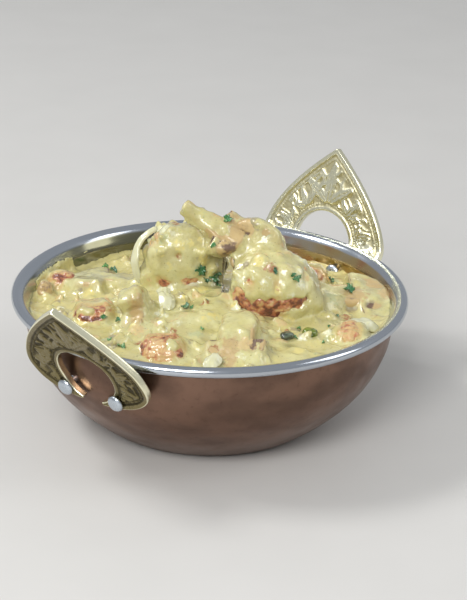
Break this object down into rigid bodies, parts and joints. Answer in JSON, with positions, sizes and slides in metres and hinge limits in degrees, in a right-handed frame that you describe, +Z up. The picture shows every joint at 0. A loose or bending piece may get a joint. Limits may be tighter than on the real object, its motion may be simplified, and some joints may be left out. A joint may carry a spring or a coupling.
{
  "type": "chicken curry in a two-handled serving pan",
  "caption": "Chicken and mushroom curry heaped in a round copper and steel serving pan with pierced brass handles; food to set on a table or buffet.",
  "frame": {"origin": "centre of the pan's flat base, on the surface it stands on", "axes": "+Z up; +X from the near handle to the far handle; +Y across the pan"},
  "size_m": [0.1922, 0.16, 0.0904],
  "materials": {
    "steel": "bright polished stainless steel, rolled rim",
    "copper": "lightly hammered, satin copper",
    "brass": "cast brass with leaf relief, darker in the hollows",
    "rivet": "bright domed rivet heads",
    "sauce": "wet, creamy, pale yellow-green sauce",
    "chicken": "seared chicken, sauce-coated with red-brown edges",
    "mushroom": "cooked mushroom, tan cut faces and grey-brown gills",
    "onion": "soft translucent onion"
  },
  "bodies": {
    "root": {"steel_bowl": "steel", "copper_shell": "copper", "handle_near": "brass", "handle_far": "brass", "curry_sauce": "sauce", "rivet_near_a": "rivet", "rivet_near_b": "rivet", "rivet_far_a": "rivet", "rivet_far_b": "rivet", "mushroom_top": "mushroom", "mushroom_right_crest": "mushroom", "chicken_left": "chicken", "chicken_right": "chicken", "chicken_front": "chicken", "chicken_left_front": "chicken", "chicken_left_back": "chicken", "chicken_right_front": "chicken", "chicken_right_back": "chicken", "mushroom_upright": "mushroom", "mushroom_front": "mushroom", "mushroom_right": "mushroom", "mushroom_left": "mushroom", "mushroom_wall_bit": "mushroom", "onion_back": "onion", "onion_middle": "onion", "onion_right": "onion", "onion_front": "onion"}
  },
  "joints": []
}
